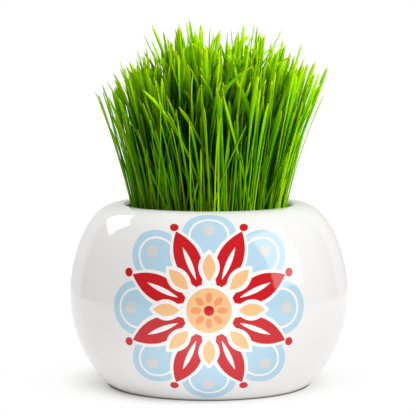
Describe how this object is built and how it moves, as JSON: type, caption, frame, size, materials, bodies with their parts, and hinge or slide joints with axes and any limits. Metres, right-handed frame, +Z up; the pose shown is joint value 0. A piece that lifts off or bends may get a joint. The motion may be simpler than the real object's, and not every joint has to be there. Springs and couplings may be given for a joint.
{
  "type": "wheatgrass pot",
  "caption": "Squat round glazed ceramic pot filled with soil, with a dense fan of young wheat blades standing up through its mouth.",
  "frame": {"origin": "centre of the pot's foot, on the surface that it stands on", "axes": "+Z up along the pot's axis; -Y towards the printed front; +X to the right as seen from the front"},
  "size_m": [0.15, 0.15, 0.197],
  "materials": {
    "white_glaze": "gloss",
    "potting_soil": "matte",
    "wheatgrass": "satin"
  },
  "bodies": {
    "root": {"pot": "white_glaze", "soil": "potting_soil", "wheatgrass_tuft_01": "wheatgrass", "wheatgrass_tuft_02": "wheatgrass", "wheatgrass_tuft_03": "wheatgrass", "wheatgrass_tuft_04": "wheatgrass", "wheatgrass_tuft_05": "wheatgrass", "wheatgrass_tuft_06": "wheatgrass", "wheatgrass_tuft_07": "wheatgrass", "wheatgrass_tuft_08": "wheatgrass", "wheatgrass_tuft_09": "wheatgrass", "wheatgrass_tuft_10": "wheatgrass", "wheatgrass_tuft_11": "wheatgrass", "wheatgrass_tuft_12": "wheatgrass", "wheatgrass_tuft_13": "wheatgrass", "wheatgrass_tuft_14": "wheatgrass", "wheatgrass_tuft_15": "wheatgrass", "wheatgrass_tuft_16": "wheatgrass", "wheatgrass_tuft_17": "wheatgrass", "wheatgrass_tuft_18": "wheatgrass", "wheatgrass_tuft_19": "wheatgrass"}
  },
  "joints": []
}
